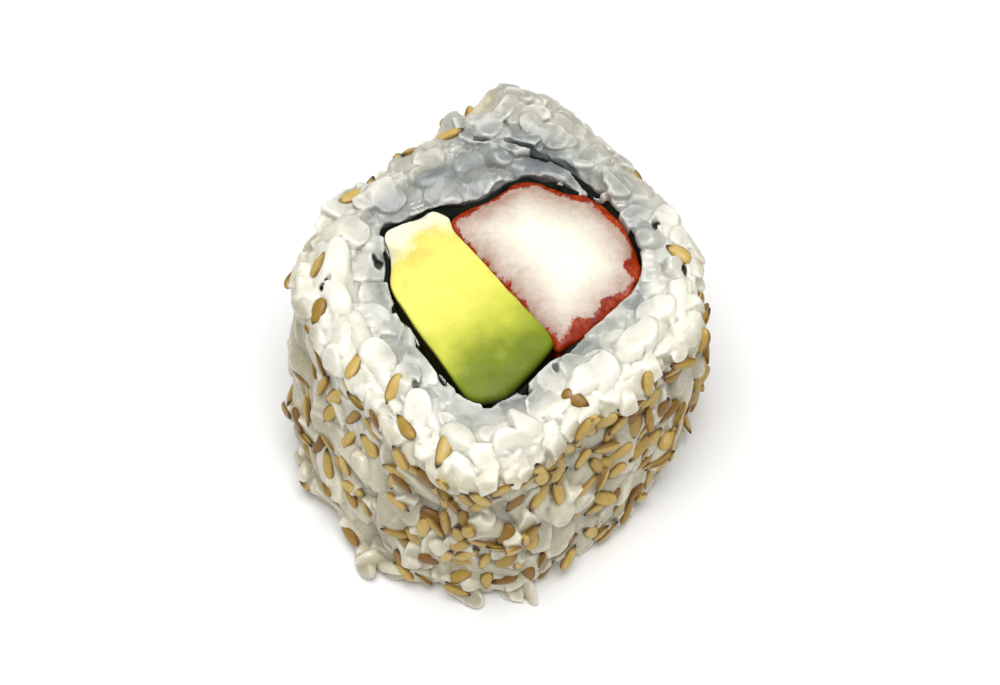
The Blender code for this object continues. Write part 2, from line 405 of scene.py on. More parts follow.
class RiceField:
    """The rice's grains on a grid round the CAD solid, numbered in the order in which they are laid.

    total is a sum from which their common surface comes. best and second are the distances to the
    nearest grain and to the next one, and owner is the nearest one's number.
    """

    def __init__(self):
        self.grid = Grid("rice", VOXEL, 3.2, 3.5)
        self.points, self.triangles = node_triangles("rice")
        self.top = self.points[:, 2].max()
        self.total = np.zeros(self.grid.shape, np.float32)
        self.best = np.full(self.grid.shape, FAR, np.float32)
        self.second = self.best.copy()
        self.owner = np.zeros(self.grid.shape, np.int16)
        self.count = 0

    def on_top(self, middle, normal):
        return (normal[:, 2] > 0.75) & (middle[:, 2] > self.top - CUT_BAND)

    def on_rim(self, middle, normal):
        sloping = (normal[:, 2] > 0.2) & (normal[:, 2] < 0.93)
        return sloping & faces_out(middle, normal) & (middle[:, 2] > self.top - CUT_BAND)

    def on_bottom(self, _, normal):
        return normal[:, 2] < -0.9

    def on_side(self, middle, normal):
        upright = np.abs(normal[:, 2]) <= 0.75
        return upright & faces_out(middle, normal) & (radius_of(middle) > OUTER_WALL_RADIUS)

    def on_inner_wall(self, middle, normal):
        near_end = (middle[:, 2] > self.top - 11.0) | (middle[:, 2] < 4.0)
        return (np.abs(normal[:, 2]) < 0.3) & ~self.on_side(middle, normal) & near_end

    def samples(self, keep, spacing, seed):
        return surface_samples(self.points, self.triangles, keep, spacing, seed)

    def inwards(self, places):
        """How far places are inside the outline at their own angle."""
        return by_angle(self.points, radius_of(self.points), places) - radius_of(places)

    def add(self, centre, axes, sizes, bend, press, cuts=(), soft=0.2, rounding=0.07):
        """One grain: a long, slightly bent ellipsoid, pressed in at the CAD surface and cut by planes."""
        half, width, height = sizes
        reach = np.abs(axes.T) @ np.array([half, width, height]) + 0.4
        block = self.grid.block(centre - reach, centre + reach)
        if any(s.stop <= s.start for s in block):
            return
        x, y, z = (axis[s].astype(np.float32) for axis, s in zip(self.grid.axes, block))
        x, y, z = np.ix_(x - centre[0], y - centre[1], z - centre[2])
        axes = axes.astype(np.float32)
        px, py, pz = (row[0] * x + row[1] * y + row[2] * z for row in axes)
        py = py - np.float32(bend) * (px * px / np.float32(half) - np.float32(half / 3))
        straight = np.float32(max(half - 1.3 * width, 0.0))
        tip = np.float32(half) - straight
        qx = px - np.clip(px, -straight, straight)
        k0 = np.sqrt((qx / tip) ** 2 + (py / width) ** 2 + (pz / height) ** 2)
        k1 = np.sqrt((qx / tip**2) ** 2 + (py / width**2) ** 2 + (pz / height**2) ** 2)
        distance = k0 * (k0 - 1.0) / np.maximum(k1, 1e-4)
        for normal, offset in cuts:
            plane = normal[0] * x + normal[1] * y + normal[2] * z - offset
            distance = smooth_max(distance, plane, rounding)
        if press is not None:
            distance = smooth_max(distance, self.grid.distance[block] - press, soft)
        distance = distance.astype(np.float32)
        self.total[block] += np.exp(-np.clip(distance, -2.0, 2.0) / BLEND)
        best, second, owner = self.best[block], self.second[block], self.owner[block]
        nearer = distance < best
        np.minimum(second, np.where(nearer, best, distance), out=second)
        owner[nearer] = self.count
        np.minimum(best, distance, out=best)
        self.count += 1


def grain_sizes(scale=1.0, wider=1.0, flatter=1.0):
    half = rng.uniform(*GRAIN_LENGTH) / 2 * scale
    width = rng.uniform(*GRAIN_WIDTH) / 2 * scale
    return half, width * wider, width * rng.uniform(*GRAIN_FLATNESS) * flatter


def cut_through(place, normal, height, slant, centre):
    """A knife's plane through place, height above it and slanted at random, as normal and offset."""
    normal = unit(normal + rng.normal(0.0, slant, 3))
    return normal, float((place + normal * height - centre) @ normal)


def angular(axes, sizes, sides):
    """Planes across a grain that give it an angular outline, as normals and offsets."""
    half, width, _ = sizes
    start = rng.uniform(0, math.tau)
    cuts = []
    for k in range(sides):
        angle = start + math.tau * (k + rng.uniform(-0.3, 0.3)) / sides
        reach = 1.0 / math.hypot(math.cos(angle) / half, math.sin(angle) / width)
        outwards = axes[0] * math.cos(angle) + axes[1] * math.sin(angle)
        cuts.append((outwards, reach * rng.uniform(0.72, 0.98)))
    return cuts


def by_angle(points, values, places):
    """The largest of values (one for each point) at the angle of each place round the piece."""
    bins = 90
    angle = np.arctan2(points[:, 1], points[:, 0]) / math.tau % 1.0
    largest = np.zeros(bins)
    np.maximum.at(largest, (angle * bins).astype(int) % bins, values)
    wanted = np.arctan2(places[:, 1], places[:, 0]) / math.tau % 1.0 * bins
    return np.interp(wanted, np.arange(bins) + 0.5, largest, period=bins)


def below_rim(points, places):
    """How far places are below the highest of points at their own angle."""
    return by_angle(points, points[:, 2], places) - places[:, 2]


def polar(angle, radius, height):
    """A point from an angle in degrees, a radius and a height."""
    turn = math.radians(angle)
    return np.array([radius * math.cos(turn), radius * math.sin(turn), height])


class Knife(Plane):
    """The plane of the upper cut, fitted to the CAD solid between its rim and the nori."""

    def __init__(self, rice):
        middles = rice.points[rice.triangles].mean(1)
        edge = rice.inwards(middles)
        normals, _ = normals_and_areas(rice.points, rice.triangles)
        super().__init__(*middles[rice.on_top(middles, normals) & (edge > 2.0) & (edge < 5.0)].T)
        self.normal = unit(np.array([-self.slopes[0], -self.slopes[1], 1.0]))

    def lift(self, place):
        """How far the plane is above place."""
        return self.height(place[0], place[1]) - place[2]

    def axes(self, tilt, lie=None):
        """Axes of a grain in the cut, turned at random or nearly to lie, and tilted a little."""
        turn = rng.uniform(0, math.pi)
        if lie is not None:
            turn = lie + 0.3 * (turn - math.pi / 2)
        return tilted(frame_about(self.normal, turn), rng.normal(0.0, tilt), rng.normal(0.0, tilt))

    def cut(self, place, height, slant, centre):
        return cut_through(place, self.normal, height, slant, centre)


def lie_of(places):
    """How grains and seeds on the side lie, as a turn from level: down and inwards on both sides."""
    angle = np.arctan2(places[:, 1], places[:, 0])
    return math.pi / 2 - 0.7 * np.cos(angle)


def in_wedge(points, places):
    """1 in the lower rice between the turns of the nori, 0 in the ring round it."""
    angle = degrees_of(places)
    share = radius_of(places) / by_angle(points, radius_of(points), places)
    between = step_between(50.0, 62.0, angle) * (1 - step_between(150.0, 160.0, angle))
    return between * (1 - step_between(0.71, 0.79, share))


def lay_side(rice):
    """Layers of flattened grains lying along the side, drawn in a little below the rim."""
    drift = Noise(11.0, 3)
    for depth, spacing, seed in SIDE_LAYERS:
        places, normals = rice.samples(rice.on_side, spacing, seed)
        below = below_rim(rice.points, places)
        drawn_in = 0.8 * step_between(1.0, 2.4, below) * (1 - step_between(5.0, 10.0, below))
        for place, normal, lie, inwards in zip(places, normals, lie_of(places), drawn_in):
            turn = lie + 0.7 * float(drift(*place)) + rng.normal(0.0, 0.35)
            axes = tilted(frame_about(normal, turn), rng.normal(0.0, 0.1), rng.normal(0.0, 0.2))
            centre = place - normal * (depth + inwards + rng.uniform(-0.3, 0.25))
            sizes = grain_sizes(1.2, 1.2, 1.1)
            cuts = [cut_through(place, normal, rng.uniform(-0.5, 0.6) - inwards, 0.2, centre)]
            if rng.random() < 0.5:
                cuts += angular(axes, sizes, 5)
            rice.add(centre, axes, sizes, rng.uniform(-0.25, 0.25), 0.8 - inwards, cuts, rounding=0.16)


def lay_cut(rice, knife):
    """Grains in the upper cut, each cut off by the knife a little above or below the next."""
    for depth, spacing, seed in CUT_LAYERS:
        places, _ = rice.samples(rice.on_top, spacing, seed)
        for place, inwards, wedge in zip(places, rice.inwards(places), in_wedge(rice.points, places)):
            place = place + (0, 0, knife.lift(place) * (1 - wedge))
            centre = place - knife.normal * (depth + rng.uniform(-0.3, 0.3))
            axes = knife.axes(0.25, math.atan2(place[1], place[0]) if wedge > 0.5 else None)
            sizes = rng.uniform(1.8, 3.3), rng.uniform(1.3, 2.0), rng.uniform(1.3, 1.9)
            cuts = [knife.cut(place, rng.normal(0.0, 0.16), 0.12, centre), *angular(axes, sizes, 5)]
            if wedge > 0.5:
                sizes = sizes[0] + 0.3, sizes[1] * 0.8, sizes[2] * 0.75
                cuts = []
            lip = rng.uniform(0.8, 1.3) if inwards < 2.0 else rng.uniform(0.3, 1.0)
            rice.add(centre, axes, sizes, rng.uniform(-0.2, 0.2), lip, cuts, 0.1)


def lay_rim(rice, knife):
    """Grains along the rim, which the knife leaves ragged and standing out over the side."""
    for depth, spacing, seed in RIM_LAYERS:
        for place in rice.samples(rice.on_rim, spacing, seed)[0]:
            place = place + (0, 0, knife.lift(place))
            outwards = unit(place * (1, 1, 0))
            centre = place - (0, 0, depth) - outwards * rng.uniform(0.2, 1.2)
            cuts = [knife.cut(place, rng.normal(-0.05, 0.16), 0.12, centre)]
            if rng.random() < 0.4:
                cuts.append(cut_through(place, outwards, rng.uniform(-0.2, 0.6), 0.5, centre))
            axes = knife.axes(0.4)
            sizes = rng.uniform(1.5, 2.9), rng.uniform(1.1, 1.6), rng.uniform(1.0, 1.5)
            cuts += angular(axes, sizes, 5)
            rice.add(centre, axes, sizes, rng.uniform(-0.2, 0.2), rng.uniform(0.7, 1.35), cuts, 0.1)


def lay_bottom(rice):
    """Grains in the lower cut, flat on what the piece stands on."""
    for place, normal in zip(*rice.samples(rice.on_bottom, 2.8, 31)):
        centre = place - normal * rng.uniform(0.4, 1.0)
        cuts = [cut_through(place, normal, rng.uniform(-0.3, 0.0), 0.05, centre)]
        rice.add(centre, random_axes(), grain_sizes(), 0.0, 0.2, cuts)


def lay_inner_walls(rice, knife):
    """Ends of grains in the walls towards the nori, near both cuts, which close over its edge."""
    ring_radius = 0.62 * radius_of(rice.points).max()
    for place, normal in zip(*rice.samples(rice.on_inner_wall, 2.0, 41)):
        height = place[2] - CUT_RISE * place[1]
        axes = frame_about(normal, rng.uniform(0, math.pi))
        if height > CUT_HEIGHT - 3.0:
            axes = random_axes()
        centre = place - normal * rng.uniform(-0.1, 0.7)
        lift = knife.lift(place) if np.hypot(*place[:2]) > ring_radius else CUT_HEIGHT - height
        cuts = [knife.cut(place + (0, 0, lift), rng.uniform(-0.7, 0.1), 0.15, centre)]
        sizes = grain_sizes(rng.uniform(0.6, 0.9))
        beside_avocado = 172.0 < math.degrees(math.atan2(place[1], place[0])) % 360 < 310.0
        over = rng.uniform(0.0, 0.7) if beside_avocado else rng.uniform(0.3, 1.0)
        over *= 1 - float(in_wedge(rice.points, place[None])[0])
        if 1.0 < place[0] < 12.5 and place[1] > 8.0:
            over = 0.0
        rice.add(centre, axes, sizes, rng.uniform(-0.2, 0.2), over, cuts, 0.1)


def lay_loose(rice, knife):
    """Slices of grains that stand out at the rim, and loose grains at the foot."""
    unturned = frame_about(knife.normal, 0.0)[0]
    for across, back, rise, length, breadth, turn in STANDING_SLICES:
        place = np.array([across, back, 0.0])
        place[2] = knife.lift(place) + rise
        turned = math.radians(turn) - math.atan2(unturned[1], unturned[0])
        axes = tilted(frame_about(knife.normal, turned), rng.normal(0.0, 0.12), rng.normal(0.0, 0.12))
        sizes = length / 2 * 1.15, breadth / 2 * 1.15, 1.3
        centre = place - knife.normal * 0.7
        cuts = [knife.cut(place, 0.0, 0.1, centre), *angular(axes, sizes, 6)]
        rice.add(centre, axes, sizes, rng.uniform(-0.2, 0.2), None, cuts)
    for angle, radius, height, number, spread in FOOT_CLUMPS:
        for _ in range(number):
            centre = polar(angle, radius, height) + rng.normal(0.0, spread, 3) * (1, 1, 0.5)
            centre[2] = max(centre[2], 1.0)
            axes = random_axes()
            sizes = grain_sizes(0.9, 1.15, 1.0)
            cuts = [(axes[2], rng.uniform(0.25, 0.6)), *angular(axes, (9.0, sizes[1], 0.0), 3)]
            rice.add(centre, axes, sizes, rng.uniform(-0.4, 0.4), None, cuts, rounding=0.2)


def as_distance(total):
    """The distance field of many grains, from the sum that RiceField.add makes."""
    return -BLEND * np.log(np.maximum(total, 1e-30))


def core_of(rice):
    """The core under the grains, as a distance field: nearer the surface and holed at the upper cut."""
    grid = rice.grid
    x, y, z = grid.coordinates(np.float32)
    near_cut = step_between(CUT_HEIGHT - 9.0, CUT_HEIGHT - 4.5, z - CUT_RISE * y)
    holes = step_between(0.25, 0.6, grid.noise(2.2, 6))
    columns = np.stack(np.broadcast_arrays(x[:, :, 0], y[:, :, 0]), axis=-1).reshape(-1, 2)
    wedge = in_wedge(rice.points, columns).reshape(grid.shape[:2])[:, :, None].astype(np.float32)
    depth = CORE_DEPTH + (CUT_CORE_DEPTH + 0.6 * wedge + 1.6 * holes - CORE_DEPTH) * near_cut
    return grid.distance + depth


def lip_over(grid, to_nori, cut_height):
    """The rice that closes over the nori's upper edge, as a distance field: a ragged lip under the cut."""
    x, y, z = grid.coordinates()
    top = np.where(grid.distance < 0, z, -FAR).max(axis=2)
    steps = round(LIP_REACH / grid.voxel)
    for axis in (0, 1):
        top = np.max(moved_along(axis, top, steps, constant_values=-FAR), axis=0)
    angle = np.degrees(np.arctan2(y, x))[:, :, 0]
    outside = (angle < 55.0) | (angle > 155.0)
    top = np.where(outside & (top > 0), np.maximum(top, cut_height[:, :, 0]), top)
    ragged = grid.noise(2.4, 8) + 0.5 * grid.noise(0.9, 12)
    by_crab = step_between(8.0, 9.5, y) * step_between(1.0, 3.0, x) * (1 - step_between(10.5, 12.0, x))
    tucked = np.maximum(step_between(11.0, 13.5, y), by_crab)
    beside_avocado = step_between(172.0, 190.0, angle % 360) - step_between(302.0, 316.0, angle % 360)
    reach = 0.45 - 0.8 * tucked - 0.8 * beside_avocado[:, :, None]
    lip = grid.distance - (reach + 0.4 * ragged * (1 - 0.8 * tucked))
    above = z - top[:, :, None] + 0.22 + 0.2 * grid.noise(2.3, 9)
    return np.maximum(smooth_max(lip, above, 0.15), np.maximum(-1.0 - above, to_nori - 1.35))


def pits_in(rice):
    """Places of small dark pits, which are left where grains meet in the front part of the cut."""
    places, _ = rice.samples(rice.on_top, 0.7, 90)
    between = rice.grid.at(rice.second, places) - rice.grid.at(rice.best, places)
    places = places[(places[:, 1] < 14.0) & (between < 0.12)]
    chosen = places[np.random.default_rng(91).choice(len(places), PIT_COUNT, replace=False)]
    return chosen[chosen[:, 1] < 9.0]


def carve_pits(field, grid, knife, pits, roughness):
    """field with a small ragged hole at each of pits."""
    for place in pits:
        block = grid.block(place - 2.0, place + 2.0)
        spread = np.array([rng.uniform(0.6, 0.95), rng.uniform(0.3, 0.45), 2.0])
        axes = knife.axes(0.3)
        around = np.ix_(*(axis[s].astype(np.float32) for axis, s in zip(grid.axes, block)))
        aside = np.stack(np.broadcast_arrays(*(a - at for a, at in zip(around, place))))
        pit = 1.0 - np.sqrt((np.tensordot(axes / spread[:, None], aside, 1) ** 2).sum(0))
        field[block] = smooth_max(field[block], pit * 0.4 + 0.4 * roughness[block] - 0.08, 0.1)


def set_rice_attributes(thing, rice, knife, field, pits):
    """What the rice's material goes by, at each point of its mesh."""
    grid = rice.grid
    points = object_points(thing)
    tone = np.random.default_rng(5).random(rice.count + 1)
    apart = grid.at(rice.second, points) - grid.at(rice.best, points)
    convex = grid.at(blurred(field, 3), points) - grid.at(field, points)
    from_pit = np.min([np.hypot(*(points - place)[:, :2].T) for place in pits], axis=0)
    sunk = knife.height(*points[:, :2].T) - points[:, 2]
    # inner: near the nori, where the rice is grey-blue, partly from the translucent rice there and partly as
    # painted shade on the lower rice.
    inner = 1.0 - step_between(0.8, 4.5, signed_distances("nori", points))
    wedge = in_wedge(rice.points, points)
    # wall: the side below the rim, which takes darker colours as painted shade, since it faces away from the
    # light.
    wall = step_between(0.3, 1.8, below_rim(rice.points, points))
    wall = wall * (1 - step_between(2.5, 4.5, rice.inwards(points)))
    set_attributes(
        thing,
        tone=tone[grid.at(rice.owner, points)],
        # Painted shade: 1 in the creases where two grains meet, where the rice is darkened a little.
        crease=np.clip(1.0 - apart / 0.5, 0.0, 1.0),
        # depth: how far a point lies under the CAD surface, for painted shade in the recesses between grains.
        depth=np.clip(-grid.at(grid.distance, points) / 1.5, 0.0, 1.0),
        # edge: above 0.5 on convex edges, which get a painted highlight, and below 0.5 in hollows, which get
        # painted shade.
        edge=np.clip(0.5 + convex / VOXEL, 0.0, 1.0),
        # pit: where the material paints a near-black shadow inside the pits.
        pit=(1 - step_between(0.8, 1.3, from_pit)) * step_between(0.25, 0.7, sunk),
        inner=np.maximum(inner, 0.9 * wedge),
        # wedge: stronger towards +x, for painted shade on the lowered rice between the nori's turns.
        wedge=wedge * (0.45 + 0.4 * step_between(2.0, 6.0, points[:, 0])),
        wall=wall,
        # clear: the cut face greyer towards the back (+y), off the side.
        clear=0.85 * step_between(3.0, 13.0, points[:, 1]) * (1 - wall),
    )


def hollowed(field, grid):
    """field without the hollows at the foot and at the rim."""
    x, y, z = grid.coordinates(np.float32)
    for angle, radius, height, size in (*FOOT_HOLLOWS, *RIM_HOLLOWS):
        middle = polar(angle, radius, height)
        hollow = size - np.sqrt((x - middle[0]) ** 2 + (y - middle[1]) ** 2 + (z - middle[2]) ** 2)
        field = smooth_max(field, hollow, 0.8)
    return field


def with_dark_line(field, grid, to_nori, roughness):
    """field opened by a broken line over the nori's outer turn, by the distance to it at one height."""
    x, y, z = grid.coordinates(np.float32)
    in_plan = to_nori[:, :, int(LINE_HEIGHT / VOXEL) - grid.low[2]][:, :, None]
    open_end = step_between(8.5, 10.5, y) * step_between(-9.0, -7.0, x)
    gap = 0.02 + 0.32 * grid.noise(1.7, 14) + 0.15 * roughness - in_plan - 2.0 * (1 - open_end)
    return smooth_max(field, np.minimum(gap, z - LINE_HEIGHT), 0.1)


def build_rice():
    rice = RiceField()
    lay_side(rice)
    side, rice.total = rice.total, np.zeros_like(rice.total)
    knife = Knife(rice)
    lay_cut(rice, knife)
    lay_rim(rice, knife)
    lay_bottom(rice)
    lay_inner_walls(rice, knife)
    lay_loose(rice, knife)

    grid = rice.grid
    x, y, z = grid.coordinates(np.float32)
    to_nori = grid.distance_to("nori", 1.6)
    roughness = grid.noise(0.7, 10)
    field = np.minimum(as_distance(rice.total), as_distance(side))
    field = smooth_min(field, core_of(rice), 0.1)
    field = smooth_min(field, lip_over(grid, to_nori, knife.height(x, y)), 0.1)
    field = hollowed(field, grid)
    pits = pits_in(rice)
    carve_pits(field, grid, knife, pits, roughness)
    field = with_dark_line(field, grid, to_nori, roughness)
    field = np.maximum(field, NORI_CLEARANCE - to_nori)
    for filling in ("crab_stick", "avocado"):
        field = np.maximum(field, FILLING_CLEARANCE - grid.distance_to(filling, 1.0))
    field = np.maximum(field, -z)
    thing = thinned(mesh_object("rice_grains", *grid.surface(field)), RICE_TRIANGLES)
    set_rice_attributes(thing, rice, knife, field, pits)
    return thing


# ---------------------------------------------------------------- fillings

FILLING_VOXEL = 0.2
CRAB_TRIANGLES = 70_000
AVOCADO_TRIANGLES = 60_000


class Filling:
    """A filling's own grid, its side seen in plan, and its cut face as a gently domed plane."""

    HALF_WAY = 14.0

    def __init__(self, name, swell, neighbours):
        self.grid = grid = Grid(name, FILLING_VOXEL, 1.0, 1.5)
        x, y, z = grid.coordinates()
        columns = np.stack(np.broadcast_arrays(x[:, :, 0], y[:, :, 0], 1.0), axis=-1)
        middles = (columns * (1.0, 1.0, self.HALF_WAY)).reshape(-1, 3)
        own, *others = (
            signed_distances(node, middles).reshape(grid.shape[:2])
            for node in (name, *(neighbour for neighbour, _ in neighbours))
        )
        self.side = own - swell
        self.to_neighbour = others[0]
        for other, (_, gap) in zip(others, neighbours):
            self.side = np.maximum(self.side, (own - other) / 2 + gap)
        inside = own < -1.5
        height = np.where(grid.distance < 0, z, 0.0).max(axis=2)
        self.cut = Plane(*columns[inside][:, :2].T, height[inside])

    def above_cut(self, crown):
        """Height above the cut face, which swells by crown from its edge to its middle."""
        x, y, z = self.grid.coordinates()
        middle = 1 - np.exp(np.minimum(self.side, 0.0) / 2.5)
        return z - (self.cut.height(x[:, :, 0], y[:, :, 0]) + crown * (middle - 0.75))[:, :, None]

    def undercut(self, above, amount):
        """The side, drawn in by amount below the cut except along the first neighbour."""
        free = self.to_neighbour[:, :, None] > 0.6
        return self.side[:, :, None] - amount * step_between(-1.4, -0.9, above) * free

    def inwards(self, points):
        """How far points are inside the side."""
        index = np.rint(points[:, :2] / FILLING_VOXEL).astype(int) - self.grid.low[:2]
        index = np.clip(index, 0, np.array(self.side.shape) - 1)
        return -self.side[index[:, 0], index[:, 1]]


# Wider stretches of the red skin: (angle in degrees round the middle, spread, width in mm)
SKIN_PATCHES = (
    (-38, 11, 1.1),
    (-68, 12, 1.5),
    (-4, 6, 1.5),
    (38, 8, 0.5),
    (75, 14, 0.4),
    (150, 9, 0.5),
    (-150, 9, 0.6),
    (-115, 6, 0.5),
)


def build_crab():
    crab = Filling("crab_stick", 0.6, (("avocado", 0.04), ("nori", 0.08)))
    grid = crab.grid
    above = crab.above_cut(0.75)
    side = crab.undercut(above, 0.25)
    side = side + grid.noise((1.3, 1.3, 7.0), 51) * 0.13 + grid.noise((2.6, 2.6, 12.0), 52) * 0.16
    edge = 1.0 - step_between(0.0, 2.2, -side)
    above = above + grid.noise(4.5, 53) * 0.16 + grid.noise((0.8, 0.8, 2.0), 54) * 0.05
    above = above + edge * grid.noise((1.5, 1.5, 3.0), 56) * 0.22
    field = smooth_max(side, above, 0.4)
    field = blurred(np.maximum(field, 0.12 - grid.coordinates()[2]), 1)
    thing = thinned(mesh_object("crab_stick_flesh", *grid.surface(field)), CRAB_TRIANGLES)
    points = object_points(thing)
    angle = degrees_of(points[:, :2] - (points[:, :2].min(0) + points[:, :2].max(0)) / 2)
    skin = 0.40 + 0.36 * Noise((1.5, 1.5, 5.0), 57)(*points.T)
    ragged = 0.75 + 0.6 * Noise((2.0, 2.0, 9.0), 55)(*points.T)
    for place, spread, width in SKIN_PATCHES:
        skin += ragged * width * np.exp(-((((angle - place + 180) % 360 - 180) / spread) ** 2))
    set_attributes(thing, inwards=crab.inwards(points), skin=skin)
    return thing


def build_avocado():
    avocado = Filling("avocado", 0.4, (("crab_stick", 0.05), ("nori", 0.1)))
    grid = avocado.grid
    x, y, z = grid.coordinates()
    above = avocado.above_cut(0.45)
    side = avocado.undercut(above, 0.2) + grid.noise((2.6, 2.6, 9.0), 63) * 0.12
    along = unit(np.array([0.58, -0.82]))
    from_stone = (x * along[0] + y * along[1])[:, :, 0]
    inside = from_stone[avocado.side < 0]
    from_stone = ((from_stone - inside.min()) / np.ptp(inside))[:, :, None]
    knife_step = (step_between(0.50, 0.56, from_stone) - 0.6 * step_between(0.56, 0.8, from_stone)) * 0.14
    strokes = grid.noise((5.0, 0.7, 9.0), 61) * 0.015
    above = above + knife_step + grid.noise((6.0, 6.0, 9.0), 64) * 0.18 + strokes
    above = above + grid.noise(1.5, 62) * 0.03
    torn = 1 - step_between(0.04, 0.24, from_stone)
    side = side + torn * (0.35 * grid.noise((2.2, 2.2, 6.0), 65) + 0.12)
    above = above + torn * (0.45 * grid.noise((1.7, 1.7, 3.0), 66) + 0.15)
    round_end = 0.22 + 0.9 * step_between(0.8, 1.0, from_stone)
    field = np.maximum(smooth_max(side, above, round_end), 0.12 - z)
    thing = thinned(mesh_object("avocado_flesh", *grid.surface(field)), AVOCADO_TRIANGLES)
    points = object_points(thing)
    place = points[:, :2] @ along
    # sunk: how far below the cut face, for painted shade on the side wall.
    sunk = step_between(0.35, 1.2, avocado.cut.height(*points[:, :2].T) - points[:, 2])
    set_attributes(thing, along=(place - place.min()) / np.ptp(place), sunk=sunk)
    return thing


# ---------------------------------------------------------------- nori

NORI_THINNING = 0.07


def build_nori():
    """The CAD sheet with finer faces, a wavy surface and ragged ends."""
    cage = bmesh.new()
    cage.from_mesh(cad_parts["nori"].data)
    bmesh.ops.remove_doubles(cage, verts=cage.verts, dist=1e-6)
    bmesh.ops.subdivide_edges(cage, edges=cage.edges, cuts=3, use_grid_fill=True)
    bmesh.ops.triangulate(cage, faces=cage.faces)
    cage.normal_update()
    mesh = bpy.data.meshes.new("nori_sheet")
    cage.to_mesh(mesh)
    cage.free()
    mesh.materials.clear()
    nori = scene_object("nori_sheet", mesh)
    points = object_points(nori)
    normals = np.array([v.normal for v in mesh.vertices])
    wave = Noise((2.6, 2.6, 5.0), 71)
    fine = Noise(0.8, 72)
    moved = points - normals * NORI_THINNING
    for axis, apart in ((0, 0.0), (1, 40.0)):
        places = (points + apart).T
        moved[:, axis] += 0.16 * wave(*places) + 0.04 * fine(*places)
    ragged = Noise((1.1, 1.1, 40.0), 73)(*points.T)
    moved[:, 2] += step_between(18.0, 27.0, points[:, 2]) * (0.4 * ragged - 0.35)
    nori.data.vertices.foreach_set("co", (moved * MM).astype(np.float32).ravel())
    mesh.update()
    mesh.shade_smooth()
    mesh.set_sharp_from_angle(angle=math.radians(50))
    return nori


# ---------------------------------------------------------------- sesame

SEED_LENGTH = 3.4
SEED_WIDTH = 2.15
SEED_HEIGHT = 1.15
SEED_RINGS = 12
SEED_SIDES = 14
SEED_COUNT = 440
# Seeds on the rim: (angle in degrees, radius)
RIM_SEEDS = ((148, 18.6), (62, 14.2), (300, 17.0), (8, 20.0), (192, 19.4), (215, 18.2), (46, 14.9))
RIM_HEIGHT = 28.5


def seed_shape():
    """A seed's points and faces: a flat teardrop with a thin rim, its pointed end at -X."""
    points, tips, rims = [], [], []
    for ring in range(SEED_RINGS + 1):
        share = 0.5 - 0.5 * math.cos(math.pi * ring / SEED_RINGS)
        outline = 1.72 * share**0.72 * (1 - share) ** 0.42
        for side in range(SEED_SIDES):
            angle = math.tau * side / SEED_SIDES
            across, up = math.cos(angle), math.sin(angle)
            points.append((
                (share - 0.5) * SEED_LENGTH,
                outline * across * SEED_WIDTH / 2,
                outline * math.copysign(abs(up) ** 1.15, up) * SEED_HEIGHT / 2 * (0.8 + 0.2 * share),
            ))
            tips.append(share)
            # rim: 1 along the seed's edge all round, where the material paints the shade of the gap round it.
            rims.append(abs(across) ** 3)
    faces = []
    for ring in range(SEED_RINGS):
        for side in range(SEED_SIDES):
            after = (side + 1) % SEED_SIDES
            a, b = ring * SEED_SIDES, (ring + 1) * SEED_SIDES
            faces.append((a + side, b + side, b + after, a + after))
    faces.append(tuple(range(SEED_SIDES)))
    faces.append(tuple(reversed(range(SEED_RINGS * SEED_SIDES, (SEED_RINGS + 1) * SEED_SIDES))))
    return np.array(points), faces, np.array(tips), np.array(rims)


def settle(tree, place, normal, turn, reach=6.0):
    """Where a seed comes to lie on the rice under place: its centre and its axes."""
    axes = frame_about(normal, turn)
    hits = []
    for along, across in ((0.0, 0.0), (1.0, 0.0), (-1.0, 0.0), (0.0, 0.6), (0.0, -0.6)):
        start = place + axes[0] * along + axes[1] * across + normal * reach
        hit = tree.ray_cast(Vector(start * MM), Vector(-normal), 2 * reach * MM)[0]
        if hit is None:
            return None
        hits.append(np.array(hit) / MM)
    hits = np.array(hits)
    heights = (hits - place) @ normal
    if heights.max() - heights.min() > 2.2:
        return None
    along = unit(hits[1] - hits[2])
    across = hits[3] - hits[4]
    up = unit(np.cross(along, across - along * (across @ along)))
    if up @ normal < 0.6:
        return None
    centre = place + normal * (float(np.median(heights)) + heights.mean()) / 2
    return centre, np.array([along, np.cross(up, along), up])


def seed_spots(local):
    """Places for the seeds and the normals there: over the side, thicker in some parts, and on the rim."""
    points, triangles = node_triangles("rice")

    def on_side(middle, normal):
        upright = (np.abs(normal[:, 2]) <= 0.7) & faces_out(middle, normal)
        return upright & (radius_of(middle) > OUTER_WALL_RADIUS) & (middle[:, 2] > 1.5)

    places, normals = surface_samples(points, triangles, on_side, 1.5, 80)
    below = below_rim(points, places)
    toward_front_right = (places[:, 0] * 0.7 - places[:, 1] * 0.7) / 20.0
    toward_left = (-places[:, 0] * 0.94 - places[:, 1] * 0.34) / radius_of(places)
    toward_back = step_between(4.0, 14.0, places[:, 1])
    angle = degrees_of(places) % 360
    at_front = step_between(232.0, 248.0, angle) - step_between(280.0, 296.0, angle)
    liking = 0.42 + 0.3 * toward_front_right + 0.28 * step_between(0.8, 1.0, toward_left)
    liking = liking + 0.3 * toward_back + 0.75 * Noise(7.0, 78)(*places.T)
    liking += 0.6 * at_front * (1 - step_between(7.0, 10.0, below))
    liking = np.clip(liking, 0.04, None) ** 1.4 * (0.1 + 0.9 * step_between(2.0, 3.2, below))
    liking *= 1 - 0.4 * at_front * (1 - step_between(11.0, 16.0, places[:, 2]))
    chosen = local.choice(len(places), min(SEED_COUNT, len(places)), replace=False, p=liking / liking.sum())
    spots = [(places[k], normals[k]) for k in chosen]
    return spots + [(polar(*place, RIM_HEIGHT), np.array([0.0, 0.0, 1.0])) for place in RIM_SEEDS]


